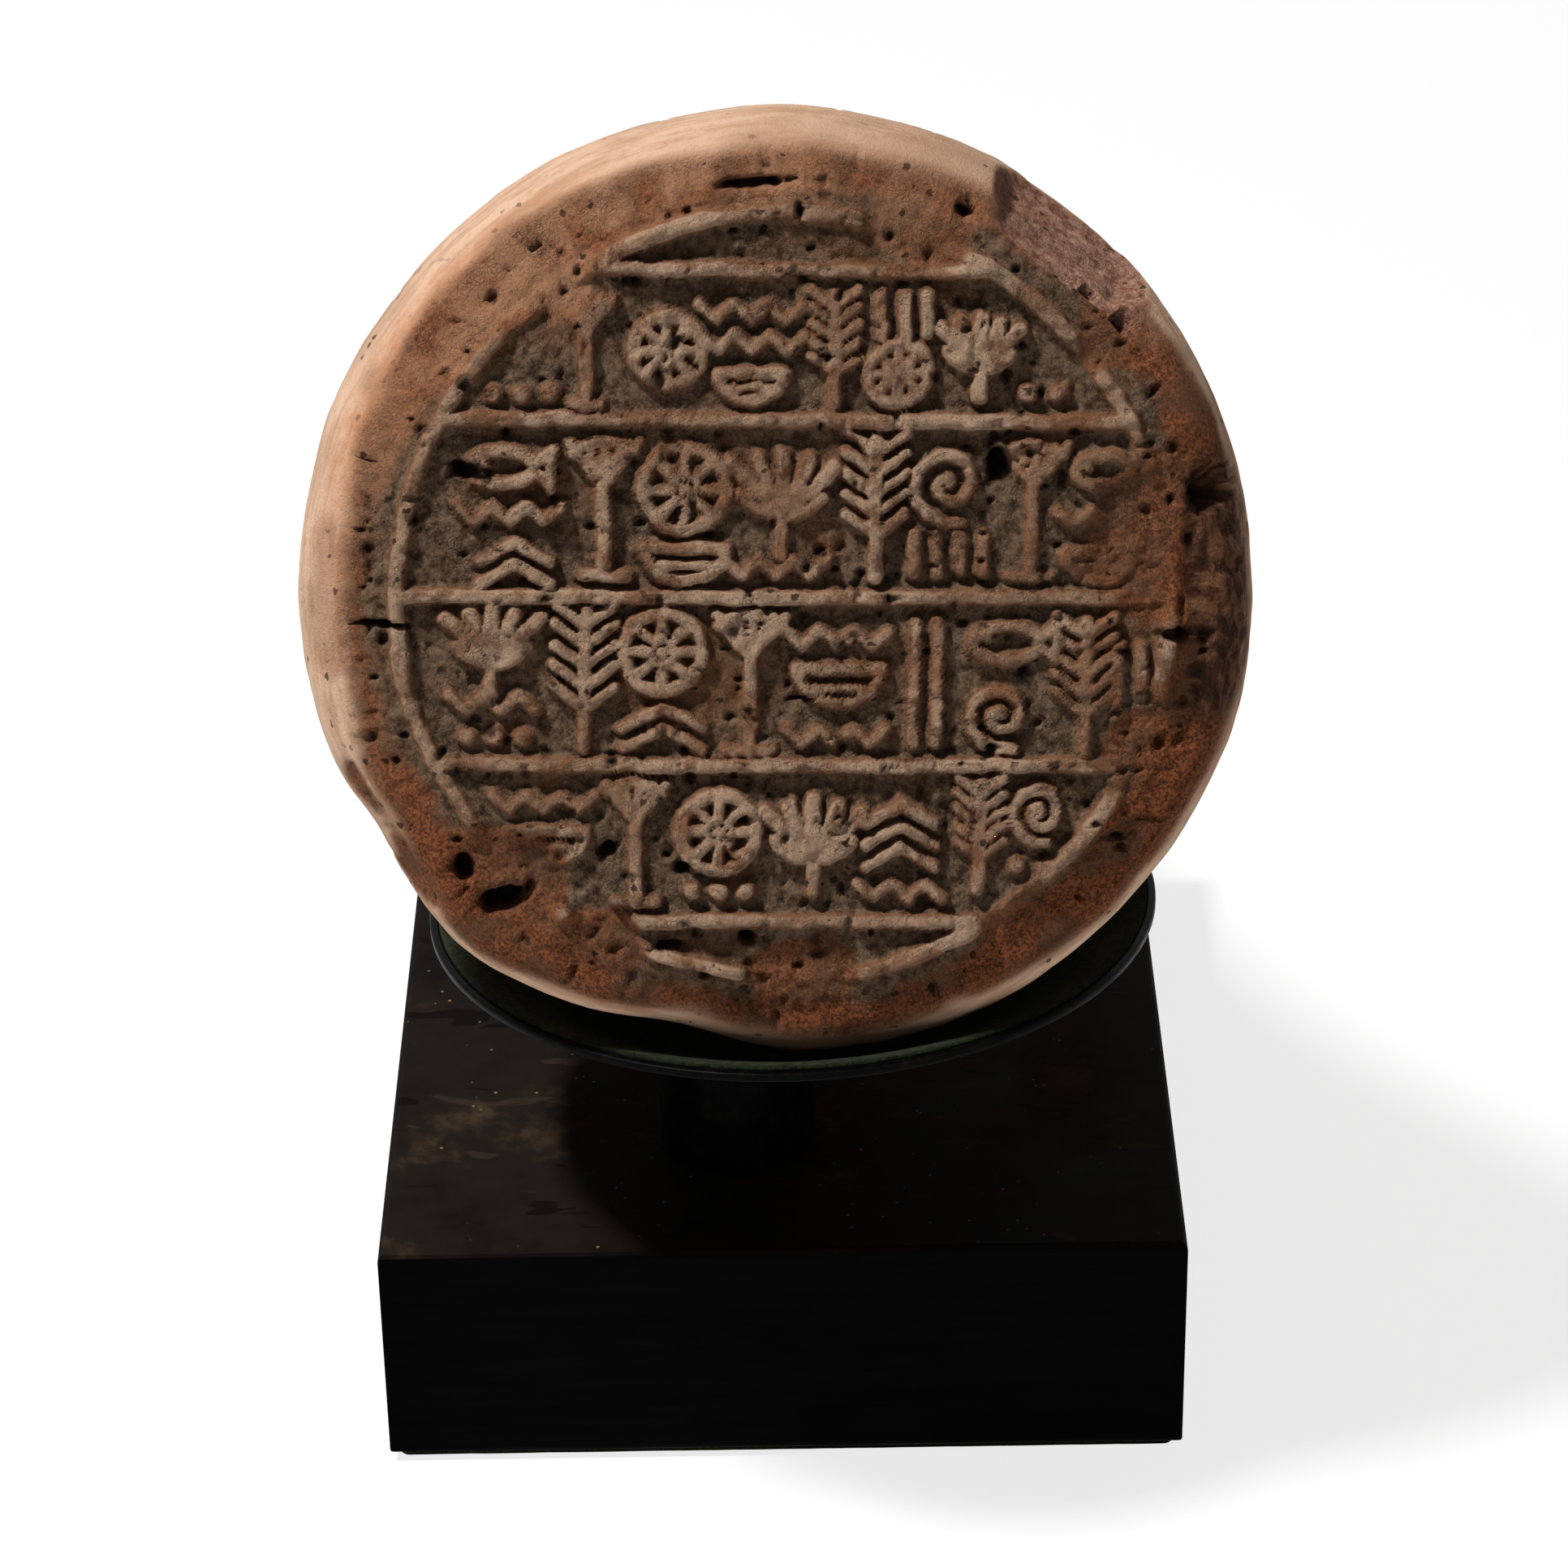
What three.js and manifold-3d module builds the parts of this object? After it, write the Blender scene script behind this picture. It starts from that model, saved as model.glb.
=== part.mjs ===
// A funerary cone of fired clay, its stamped face forward, lying loose in a felt-lined dish
// on a round post and a rectangular plinth.
// Millimetres, +Z up. The origin is the middle of the underside of the base felt.
import * as THREE from 'three';
import { mergeVertices } from 'three/addons/utils/BufferGeometryUtils.js';
import Module from 'manifold-3d';

const wasm = await Module();
wasm.setup();

// Plinth and its base felt
const plinthWidth = 76;
const plinthDepth = 100;
const plinthHeight = 23.4;
const plinthEdgeRound = 0.7;
const baseFeltThickness = 0.8;
const baseFeltInset = 0.8;

// Post and the screw that holds it down
const postRadius = 7.5;
const postHeight = 15.5;
const postX = -4.3;
const postSetback = 19.8;
const postEdgeRound = 0.4;
const postScrewRadius = 2;
const postScrewHeadRadius = 4;
const postScrewHeadHeight = 2.8;
const postScrewGrip = 6;
const washerRadius = 5;
const washerThickness = 0.8;
const counterboreDepth = 9;

// Dish, its lining and its screw; the rim plane leans back and to the left
const dishRadius = 34.2;
const dishX = 1.4;
const dishSetback = 20;
const dishLeanBack = 4.3;
const dishLeanLeft = 1.2;
const dishRimDepth = 0.8;
const dishWall = 0.8;
const dishFloorThickness = 1.8;
const dishFloorRadius = 14;
const dishSideAngle = 27.5;
const liningThickness = 0.7;
const liningRimMargin = 2.2;
const dishScrewRadius = 1.5;
const dishScrewHeadRadius = 2.8;
const dishScrewHeadDepth = 1.3;
const screwTipGap = 1.5;

// Cone: radius at distances behind the stamped face
const coneProfile = [
  [0, 37.2],
  [1.4, 39.4],
  [3.6, 41.2],
  [7, 42.2],
  [11, 42.4],
  [16, 41.5],
  [22, 39.5],
  [30, 35.8],
  [40, 31.2],
  [51, 26.9],
  [62, 23.4],
  [76, 20.6],
  [96, 17.8],
  [118, 15.4],
  [136, 13.4],
  [140.5, 11.6],
  [143, 7.5],
];
const coneLength = 144;
const faceX = 1.2;
const faceSetback = 2.3;
const faceElevation = 20;
const faceTurn = 3.5;
const stampRoll = -2.8;

// Stamped face: a border ring, register lines and ornament that stand up from the ground
const reliefHeight = 1.2;
const reliefRoot = 0.6;
const borderRadius = 33.8;
const lineWidth = 1.3;
const registerLines = [28.8, 15.8, 0.4, -14.5, -28.5];
const waterStep = 1.5;
const waterRise = 1.3;
const tallyGap = 2;
// Roundels: x, y, radius
const roundels = [
  [-10.4, 21.8, 3], [9.6, 20, 2.6], [-8.8, 9.8, 3.6], [14.2, 10.4, 3.4], [-10.6, -4.4, 3.4],
  [19, -10, 3], [-5.6, -20.4, 3.4], [22.6, -18.6, 2.6],
];
// Water lines: x, y, length
const waters = [
  [-3.2, 25.2, 9], [-3.2, 22.6, 9], [-24, 7.6, 9], [-0.4, 3, 9], [27.4, 7.4, 6],
  [-25.2, -9, 7.5], [4.6, -3.2, 9], [4.6, -11.8, 9], [-21, -17.8, 9], [10.6, -25.4, 7.5],
];
// Papyrus stems: x, y, height
const papyri = [
  [-17.5, 21.6, 9], [16.6, 21.8, 7], [-15.8, 8, 11.5], [-0.4, 9.2, 9], [21.4, 8, 11.5],
  [-25.5, -4, 6.5], [-3, -7.2, 12], [-12.8, -21.4, 10.5], [2.8, -21.2, 8.5],
];
// Tallies: x, y, count, height
const tallies = [[10, 25, 3, 3.4], [14.2, 4.2, 4, 3.4], [12.4, -7.2, 2, 10.5], [30.4, -7.6, 2, 6]];

// Fits
const turnedGap = 0.3;
const holeClearance = 0.3;
const segments = 48;
const coneSegments = 72;

const radians = THREE.MathUtils.degToRad;

// Joins a geometry's shared corners and makes it a solid that can be cut
function solidOf(geometry) {
  const bare = geometry.clone();
  bare.deleteAttribute('normal');
  bare.deleteAttribute('uv');
  const merged = mergeVertices(bare, 1e-5);
  return new wasm.Manifold(
    new wasm.Mesh({
      numProp: 3,
      vertProperties: merged.attributes.position.array,
      triVerts: new Uint32Array(merged.index.array),
    }),
  );
}

// Turns a cut solid back into a geometry
function geometryOf(solid) {
  const mesh = solid.getMesh();
  const geometry = new THREE.BufferGeometry();
  geometry.setAttribute('position', new THREE.BufferAttribute(mesh.vertProperties, mesh.numProp));
  geometry.setIndex(new THREE.BufferAttribute(mesh.triVerts, 1));
  geometry.computeVertexNormals();
  return geometry;
}

// A solid of revolution about Z from [radius, height] points, given from the lower axis point up
function turned(points, count = segments) {
  const outline = points.map(([radius, height]) => new THREE.Vector2(radius, height));
  return new THREE.LatheGeometry(outline, count).rotateX(Math.PI / 2);
}

function cylinder(radius, low, high, count = segments) {
  return turned([[0, low], [radius, low], [radius, high], [0, high]], count);
}

function boxAt(width, depth, low, high) {
  return new THREE.BoxGeometry(width, depth, high - low).translate(0, 0, (low + high) / 2);
}

function material(color, roughness, metalness = 0) {
  return new THREE.MeshStandardMaterial({ color, roughness, metalness });
}

function named(name, geometry, look) {
  const mesh = new THREE.Mesh(geometry, look);
  mesh.name = name;
  return mesh;
}

const firedClay = material('#b98f6b', 0.95);
const blackLacquer = material('#1b1a19', 0.45);
const ebonisedWood = material('#2a2725', 0.5);
const greenFelt = material('#26331c', 1);
const steel = material('#8d8f92', 0.35, 1);

// Places that several pieces share
const plinthTop = baseFeltThickness + plinthHeight;
const plinthFront = -plinthDepth / 2;
const postY = plinthFront + postSetback;
const dishY = plinthFront + dishSetback;
const dishSlope = Math.tan(radians(dishSideAngle));
const slopeStretch = 1 / Math.cos(radians(dishSideAngle));
const dishDepth = dishRimDepth + (dishRadius - dishFloorRadius) * dishSlope;
const dishRimHeight = plinthTop + postHeight + dishDepth;
const dishScrewLength = dishFloorThickness + postHeight - postScrewGrip - screwTipGap;
const washerSeat = baseFeltThickness + counterboreDepth;

const dishFrame = new THREE.Group();
dishFrame.position.set(dishX, dishY, dishRimHeight);
dishFrame.rotation.set(radians(-dishLeanBack), radians(-dishLeanLeft), 0);
dishFrame.updateMatrixWorld(true);

// The post's axis as it meets the dish's underside, in the dish's own frame
const postInDish = dishFrame.worldToLocal(new THREE.Vector3(postX, postY, dishRimHeight - dishDepth));

// Height of the dish's sloping inside over its rim plane, raised by a thickness square to it
function dishInside(radius, raise) {
  const slope = -dishRimDepth - (dishRadius - radius) * dishSlope + (dishWall + raise) * slopeStretch;
  return Math.max(slope, -dishDepth + dishFloorThickness + raise);
}

// Radius at which the inside's slope meets its floor
function floorEdge(raise) {
  const rise = dishFloorThickness + raise - (dishWall + raise) * slopeStretch;
  return dishFloorRadius + rise / dishSlope;
}

function baseFelt() {
  const width = plinthWidth - 2 * baseFeltInset;
  const depth = plinthDepth - 2 * baseFeltInset;
  return boxAt(width, depth, 0, baseFeltThickness);
}

function plinth() {
  const shape = new THREE.Shape();
  const halfWidth = plinthWidth / 2 - plinthEdgeRound;
  const halfDepth = plinthDepth / 2 - plinthEdgeRound;
  shape.moveTo(-halfWidth, -halfDepth);
  shape.lineTo(halfWidth, -halfDepth);
  shape.lineTo(halfWidth, halfDepth);
  shape.lineTo(-halfWidth, halfDepth);
  shape.closePath();
  const block = new THREE.ExtrudeGeometry(shape, {
    depth: plinthHeight - 2 * plinthEdgeRound,
    bevelThickness: plinthEdgeRound,
    bevelSize: plinthEdgeRound,
    bevelSegments: 3,
  }).translate(0, 0, baseFeltThickness + plinthEdgeRound);
  const hole = cylinder(postScrewRadius + holeClearance, 0, plinthTop + 1).translate(postX, postY, 0);
  const counterbore = cylinder(washerRadius + holeClearance, 0, washerSeat).translate(postX, postY, 0);
  return geometryOf(solidOf(block).subtract(solidOf(hole)).subtract(solidOf(counterbore)));
}

// The post's top is cut along the leaning underside of the dish
function post() {
  const body = turned([
    [0, plinthTop],
    [postRadius - postEdgeRound, plinthTop],
    [postRadius, plinthTop + postEdgeRound],
    [postRadius, dishRimHeight],
    [0, dishRimHeight],
  ]).translate(postX, postY, 0);
  const above = boxAt(4 * postRadius, 4 * postRadius, -dishDepth - turnedGap, dishRimHeight)
    .translate(postInDish.x, postInDish.y, 0)
    .applyMatrix4(dishFrame.matrixWorld);
  const lowHole = cylinder(postScrewRadius + holeClearance, 0, plinthTop + postScrewGrip + holeClearance)
    .translate(postX, postY, 0);
  const topHole = dishScrewCutter(dishScrewLength).applyMatrix4(dishFrame.matrixWorld);
  return geometryOf(solidOf(body).subtract(solidOf(above)).subtract(solidOf(lowHole)).subtract(solidOf(topHole)));
}

// Room for the dish's screw, in the dish's own frame
function dishScrewCutter(reach) {
  const seat = dishInside(0, 0);
  const edge = dishScrewHeadRadius + holeClearance;
  const shank = dishScrewRadius + holeClearance;
  return turned([
    [0, seat - reach - holeClearance],
    [shank, seat - reach - holeClearance],
    [shank, seat - dishScrewHeadDepth - holeClearance],
    [edge, seat],
    [edge, seat + 1],
    [0, seat + 1],
  ], 24).translate(postInDish.x, postInDish.y, 0);
}

function dish() {
  const inner = dishRadius - dishWall;
  const plate = turned([
    [0, -dishDepth],
    [dishFloorRadius, -dishDepth],
    [dishRadius, -dishRimDepth],
    [dishRadius, 0],
    [inner, 0],
    [inner, dishInside(inner, 0)],
    [floorEdge(0), dishInside(0, 0)],
    [0, dishInside(0, 0)],
  ], coneSegments);
  return geometryOf(solidOf(plate).subtract(solidOf(dishScrewCutter(dishScrewLength))));
}

function dishScrew() {
  const top = dishInside(0, 0);
  return turned([
    [0, top - dishScrewLength],
    [dishScrewRadius, top - dishScrewLength],
    [dishScrewRadius, top - dishScrewHeadDepth],
    [dishScrewHeadRadius, top - holeClearance / 2],
    [dishScrewHeadRadius, top],
    [0, top],
  ], 24).translate(postInDish.x, postInDish.y, 0);
}

function dishLining() {
  const edge = dishRadius - liningRimMargin;
  const under = turnedGap;
  const over = turnedGap + liningThickness;
  return turned([
    [0, dishInside(0, under)],
    [floorEdge(under), dishInside(0, under)],
    [edge, dishInside(edge, under)],
    [edge, dishInside(edge, over)],
    [floorEdge(over), dishInside(0, over)],
    [0, dishInside(0, over)],
  ], coneSegments);
}

function postWasher() {
  const ring = cylinder(washerRadius, washerSeat - washerThickness, washerSeat).translate(postX, postY, 0);
  const hole = cylinder(postScrewRadius + holeClearance, 0, plinthTop).translate(postX, postY, 0);
  return geometryOf(solidOf(ring).subtract(solidOf(hole)));
}

function postScrew() {
  const headTop = washerSeat - washerThickness;
  return turned([
    [0, headTop - postScrewHeadHeight],
    [postScrewHeadRadius * 0.7, headTop - postScrewHeadHeight],
    [postScrewHeadRadius, headTop - postScrewHeadHeight * 0.6],
    [postScrewHeadRadius, headTop],
    [postScrewRadius, headTop],
    [postScrewRadius, plinthTop + postScrewGrip],
    [0, plinthTop + postScrewGrip],
  ], 24).translate(postX, postY, 0);
}

// A raised bar on the face between two places, with its foot sunk a little into the clay
function bar(x0, y0, x1, y1, width = lineWidth) {
  const length = Math.hypot(x1 - x0, y1 - y0) + width;
  return boxAt(length, width, -reliefRoot, reliefHeight)
    .rotateZ(Math.atan2(y1 - y0, x1 - x0))
    .translate((x0 + x1) / 2, (y0 + y1) / 2, 0);
}

// A raised zigzag of water along a row
function waterLine(x, y, length, step, rise) {
  const count = Math.round(length / step);
  const path = Array.from({ length: count + 1 }, (_, i) => [x + i * step, y + (i % 2 ? rise : -rise) / 2]);
  const left = path.map(([px, py]) => new THREE.Vector2(px, py + lineWidth / 2));
  const right = path.map(([px, py]) => new THREE.Vector2(px, py - lineWidth / 2)).reverse();
  return new THREE.ExtrudeGeometry(new THREE.Shape([...left, ...right]), {
    depth: reliefHeight + reliefRoot,
    bevelEnabled: false,
  }).translate(0, 0, -reliefRoot);
}

function disc(x, y, radius) {
  return cylinder(radius, -reliefRoot, reliefHeight, 20).translate(x, y, 0);
}

// Half the length of a chord of the border ring at a height on the face
function chordReach(y) {
  return Math.sqrt(borderRadius ** 2 - y ** 2) - lineWidth / 2;
}

// Straight strokes side by side
function tally(x, y, count, height) {
  return Array.from({ length: count }, (_, i) => {
    const place = x + (i - (count - 1) / 2) * tallyGap;
    return bar(place, y - height / 2, place, y + height / 2);
  });
}

// A papyrus stem with its open head
function papyrus(x, y, height) {
  const foot = y - height / 2;
  const head = y + height * 0.18;
  const tip = y + height / 2;
  const spread = height * 0.26;
  return [bar(x, foot, x, head), bar(x, head, x - spread, tip), bar(x, head, x + spread, tip)];
}

// The ornament between the register lines, drawn with plain forms
function ornament() {
  return [
    ...roundels.map(([x, y, radius]) => disc(x, y, radius)),
    ...waters.map(([x, y, length]) => waterLine(x - length / 2, y, length, waterStep, waterRise)),
    ...papyri.flatMap(([x, y, height]) => papyrus(x, y, height)),
    ...tallies.flatMap(([x, y, count, height]) => tally(x, y, count, height)),
  ];
}

function relief() {
  const ring = turned([
    [borderRadius - lineWidth / 2, -reliefRoot],
    [borderRadius + lineWidth / 2, -reliefRoot],
    [borderRadius + lineWidth / 4, reliefHeight],
    [borderRadius - lineWidth / 4, reliefHeight],
    [borderRadius - lineWidth / 2, -reliefRoot],
  ], coneSegments);
  const lines = registerLines.map((y) => bar(-chordReach(y), y, chordReach(y), y));
  return [ring, ...lines, ...ornament()];
}

// The cone lies along -Z from its face at 0
function cone() {
  const side = coneProfile.map(([distance, radius]) => [radius, -distance]).reverse();
  const clay = solidOf(turned([[0, -coneLength], ...side, [0, 0]], coneSegments));
  return geometryOf(relief().reduce((body, raised) => body.add(solidOf(raised)), clay));
}

const coneFrame = new THREE.Group();
coneFrame.rotation.set(radians(90 - faceElevation), 0, radians(faceTurn), 'ZXY');
coneFrame.updateMatrixWorld(true);

// The cone's profile with each of its straight runs cut into short steps
function coneRings() {
  const steps = 8;
  return coneProfile.slice(1).flatMap(([distance, radius], i) => {
    const [lastDistance, lastRadius] = coneProfile[i];
    return Array.from({ length: steps }, (_, k) => [
      THREE.MathUtils.lerp(lastDistance, distance, k / steps),
      THREE.MathUtils.lerp(lastRadius, radius, k / steps),
    ]);
  });
}

// Height of what the cone rests on over the rim plane, at a distance from the dish's middle
function restingHeight(reach) {
  const over = turnedGap + liningThickness;
  const liningEdge = dishRadius - liningRimMargin;
  if (reach < liningEdge) return dishInside(reach, over);
  return Math.max(0, dishInside(liningEdge, over));
}

// How far a cone with its face at a height must rise for its nearest point to clear the lining and rim
function seatLift(height) {
  const face = new THREE.Vector3(faceX, plinthFront + faceSetback, height);
  const toDish = dishFrame.matrixWorld.clone().invert();
  const around = 2 * coneSegments;
  let lift = -Infinity;
  for (const [distance, radius] of coneRings()) {
    for (let i = 0; i < around; i += 1) {
      const turn = (2 * Math.PI * i) / around;
      const point = new THREE.Vector3(radius * Math.cos(turn), radius * Math.sin(turn), -distance)
        .applyMatrix4(coneFrame.matrixWorld)
        .add(face)
        .applyMatrix4(toDish);
      const reach = Math.hypot(point.x, point.y);
      if (reach < dishRadius + 2 * turnedGap) {
        lift = Math.max(lift, restingHeight(reach) + turnedGap - point.z);
      }
    }
  }
  return lift;
}

// The cone is let down in a few steps, because the lean moves its contacts as it sinks
function coneSeat() {
  const steps = 8;
  let height = dishRimHeight + coneProfile[0][1];
  for (let i = 0; i < steps; i += 1) height += seatLift(height);
  return height;
}

coneFrame.position.set(faceX, plinthFront + faceSetback, coneSeat());
const stampFrame = new THREE.Group();
stampFrame.rotation.z = radians(stampRoll);
stampFrame.add(named('cone', cone(), firedClay));
coneFrame.add(stampFrame);

dishFrame.add(
  named('dish', dish(), blackLacquer),
  named('dish_lining', dishLining(), greenFelt),
  named('dish_screw', dishScrew(), steel),
);

const funeraryCone = new THREE.Group();
funeraryCone.add(
  named('base_felt', baseFelt(), greenFelt),
  named('plinth', plinth(), ebonisedWood),
  named('post', post(), blackLacquer),
  named('post_washer', postWasher(), steel),
  named('post_screw', postScrew(), steel),
  dishFrame,
  coneFrame,
);

export default funeraryCone;
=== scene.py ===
# A fired-clay funerary cone lying in the felt-lined dish of a black display stand.
import math

import bpy
import numpy as np
from mathutils import Matrix


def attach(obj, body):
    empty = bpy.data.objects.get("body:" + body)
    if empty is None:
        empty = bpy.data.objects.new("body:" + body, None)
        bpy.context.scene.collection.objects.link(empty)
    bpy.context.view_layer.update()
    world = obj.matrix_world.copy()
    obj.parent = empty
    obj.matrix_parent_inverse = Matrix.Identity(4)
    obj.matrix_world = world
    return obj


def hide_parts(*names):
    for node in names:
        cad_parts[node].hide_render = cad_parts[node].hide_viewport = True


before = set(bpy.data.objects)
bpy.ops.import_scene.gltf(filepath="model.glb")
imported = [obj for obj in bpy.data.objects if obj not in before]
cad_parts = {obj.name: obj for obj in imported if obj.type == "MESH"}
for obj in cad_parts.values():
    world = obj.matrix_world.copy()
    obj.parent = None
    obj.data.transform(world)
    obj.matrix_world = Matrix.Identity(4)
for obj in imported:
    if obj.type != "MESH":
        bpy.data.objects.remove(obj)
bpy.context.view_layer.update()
mm = 0.001


# Shared helpers

# One sRGB hex colour turned linear, with alpha 1.
def linearColour(hexText):
    values = [int(hexText[i:i + 2], 16) / 255 for i in (1, 3, 5)]
    return [v / 12.92 if v <= 0.04045 else ((v + 0.055) / 1.055) ** 2.4 for v in values] + [1]


# A node of one kind with its settings, input values and links from (node, output).
def addNode(tree, kind, settings=None, inputs=None, links=None):
    node = tree.nodes.new(kind)
    for key, value in (settings or {}).items():
        setattr(node, key, value)
    for key, value in (inputs or {}).items():
        node.inputs[key].default_value = value
    for key, (source, output) in (links or {}).items():
        tree.links.new(source.outputs[output], node.inputs[key])
    return node


# An empty node material with its output node.
def newMaterial(name):
    material = bpy.data.materials.new(name)
    material.use_nodes = True
    tree = material.node_tree
    tree.nodes.clear()
    return material, tree, addNode(tree, "ShaderNodeOutputMaterial")


# A colour mix: each side is a hex text or a (node, output) pair, factor a pair.
def mixColours(tree, factor, first, second):
    inputs = {6 + i: linearColour(side) for i, side in enumerate((first, second)) if isinstance(side, str)}
    links = {6 + i: side for i, side in enumerate((first, second)) if not isinstance(side, str)}
    mixer = addNode(tree, "ShaderNodeMix", {"data_type": "RGBA"}, inputs, {0: factor, **links})
    return mixer, 2


# A smooth step of a value from low..high to lowTo..highTo.
def stepped(tree, source, low, high, lowTo=0.0, highTo=1.0):
    inputs = {"From Min": low, "From Max": high, "To Min": lowTo, "To Max": highTo}
    node = addNode(tree, "ShaderNodeMapRange", {"interpolation_type": "SMOOTHSTEP"}, inputs,
                   {"Value": source})
    return node, 0


# Noise whose largest lumps are sizeMm across on the object.
def noise(tree, coordinates, sizeMm, detail=4.0, roughness=0.55, stretch=None):
    links = {"Vector": coordinates}
    if stretch:
        mapping = addNode(tree, "ShaderNodeMapping", None, {"Scale": stretch}, links)
        links = {"Vector": (mapping, 0)}
    inputs = {"Scale": 1 / (sizeMm * mm), "Detail": detail, "Roughness": roughness}
    return addNode(tree, "ShaderNodeTexNoise", None, inputs, links), 0


# Coordinates pushed about by noise, so that a pattern on them is less regular.
def warped(tree, coordinates, sizeMm, amountMm):
    size = {"Scale": 1 / (sizeMm * mm), "Detail": 3.0}
    push = addNode(tree, "ShaderNodeTexNoise", None, size, {"Vector": coordinates})
    moved = addNode(tree, "ShaderNodeVectorMath", {"operation": "MULTIPLY_ADD"},
                    {1: (2 * amountMm * mm,) * 3},
                    {0: (push, "Color"), 2: coordinates})
    return moved, 0


# A mesh object from an array of points in metres and lists of faces.
def meshPiece(name, points, faces, material, smooth=True):
    mesh = bpy.data.meshes.new(name)
    mesh.from_pydata(np.asarray(points).tolist(), [], faces)
    mesh.polygons.foreach_set("use_smooth", np.full(len(mesh.polygons), smooth))
    mesh.update()
    mesh.materials.append(material)
    piece = bpy.data.objects.new(name, mesh)
    bpy.context.scene.collection.objects.link(piece)
    return piece


# Smooth noise in -1..1: hashed lattice values, blended by a smooth cube rule.
def valueNoise(points, size, seed):
    scaled = points / size + seed * 17.31
    cell = np.floor(scaled).astype(np.int64)
    part = scaled - cell
    part = part * part * (3 - 2 * part)
    total = np.zeros(len(points))
    for corner in range(8):
        step = np.array([corner & 1, corner >> 1 & 1, corner >> 2 & 1])
        key = (cell + step) @ np.array([73856093, 19349663, 83492791]) + seed * 2654435
        key = (key ^ (key >> 13)) * 1274126177 & 0x7fffffff
        value = ((key ^ (key >> 16)) & 0xffff) / 32767.5 - 1
        weight = np.where(step, part, 1 - part).prod(axis=1)
        total += value * weight
    return total


# A sum of value noises, each half the size and a part of the strength of the last.
def layeredNoise(points, size, seed, layers=4, fall=0.5):
    total = np.zeros(len(points))
    strength, norm = 1.0, 0.0
    for layer in range(layers):
        total += strength * valueNoise(points, size / 2 ** layer, seed + layer)
        norm += strength
        strength *= fall
    return total / norm


# 0 below low, 1 above high, and a smooth cube rule between.
def smoothStep(value, low, high):
    t = np.clip((value - low) / (high - low), 0, 1)
    return t * t * (3 - 2 * t)


# Camera, at the photograph's viewing angle

camera = {
    "place": (2.365, -434.439, 302.807),   # mm from the stand's middle
    "yaw": 0.220, "pitch": 30.648, "roll": -0.988,   # degrees
    "lens": 115.92,
}


def makeCamera():
    yaw, pitch, roll = (math.radians(camera[k]) for k in ("yaw", "pitch", "roll"))
    turn = np.array([[math.cos(yaw), -math.sin(yaw), 0], [math.sin(yaw), math.cos(yaw), 0], [0, 0, 1]])
    forward = turn @ np.array([0, math.cos(pitch), -math.sin(pitch)])
    flat = turn @ np.array([1.0, 0, 0])
    rise = np.cross(flat, forward)
    right = math.cos(roll) * flat + math.sin(roll) * rise
    up = -math.sin(roll) * flat + math.cos(roll) * rise
    data = bpy.data.cameras.new("camera")
    data.lens = camera["lens"]
    data.sensor_width = 36
    data.clip_start = 0.01
    obj = bpy.data.objects.new("camera", data)
    bpy.context.scene.collection.objects.link(obj)
    matrix = np.eye(4)
    matrix[:3, :3] = np.column_stack([right, up, -forward])
    matrix[:3, 3] = np.array(camera["place"]) * mm
    obj.matrix_world = Matrix(matrix.tolist())
    bpy.context.scene.camera = obj


# The cone

cone = {
    "faceCentre": (1.2, -47.7, 92.22),   # mm
    "elevation": 20.0, "turn": 3.5, "roll": -2.8,   # degrees
    # (distance behind the face, radius), mm
    "profile": [(0, 37.2), (0.5, 38.4), (1.4, 39.6), (3.6, 41.2), (7, 42.2), (11, 42.4), (16, 41.5),
                (22, 39.5), (30, 35.8), (40, 31.2), (51, 26.9), (62, 23.4), (76, 20.6), (96, 17.8),
                (118, 15.4), (136, 13.4), (140.5, 11.6), (143, 7.5)],
    "length": 144.0,
    "faceCells": 240,
    "coarseCells": 80,
    "fineSideEnd": 22.0,
    "fineRings": 17,
    "coarseRings": 44,
    "reliefHeight": 1.5,
    "borderRadius": 33.8,
    "lineWidth": 1.5,
    "registerLines": (28.8, 15.8, 0.4, -14.5, -28.5),
    "crumbleHeight": 0.26, "grainHeight": 0.22, "pitDepth": 0.5, "rimDrop": 0.6,   # mm, over the face
    "pockCount": 170, "pockReach": 39, "pockSizes": (0.28, 0.75), "pockDepth": 0.75,
    "gougeAngle": 2, "gougeDepth": 0.5, "fibreHeight": 0.75, "chipAngle": 48,
    "skinRadius": 38,
    "seed": 11,
}


# A square grid laid on a unit disc: squares become rings, so cells keep nearly equal area.
def discGrid(cells):
    line = np.linspace(-1, 1, cells + 1)
    a, b = np.meshgrid(line, line)
    wide = np.abs(a) > np.abs(b)
    reach = np.where(wide, a, b)
    with np.errstate(divide="ignore", invalid="ignore"):
        angle = np.where(wide, b / a * np.pi / 4, np.pi / 2 - a / b * np.pi / 4)
    angle = np.nan_to_num(angle)
    return reach * np.cos(angle), reach * np.sin(angle)


def gridFaces(cells, offset, flip=False):
    index = offset + np.arange((cells + 1) ** 2).reshape(cells + 1, cells + 1)
    quads = np.stack([index[:-1, :-1], index[:-1, 1:], index[1:, 1:], index[1:, :-1]], -1).reshape(-1, 4)
    return quads[:, ::-1] if flip else quads


# The grid's border points in order, from the corner at -45 degrees.
def gridEdge(cells, offset):
    index = offset + np.arange((cells + 1) ** 2).reshape(cells + 1, cells + 1)
    return np.concatenate([index[:-1, -1], index[-1, :0:-1], index[:0:-1, 0], index[0, :-1]])


# Quads between two rings of equal count, the second further from the face.
def bandFaces(first, second):
    return np.stack([first, second, np.roll(second, -1), np.roll(first, -1)], -1)


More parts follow.
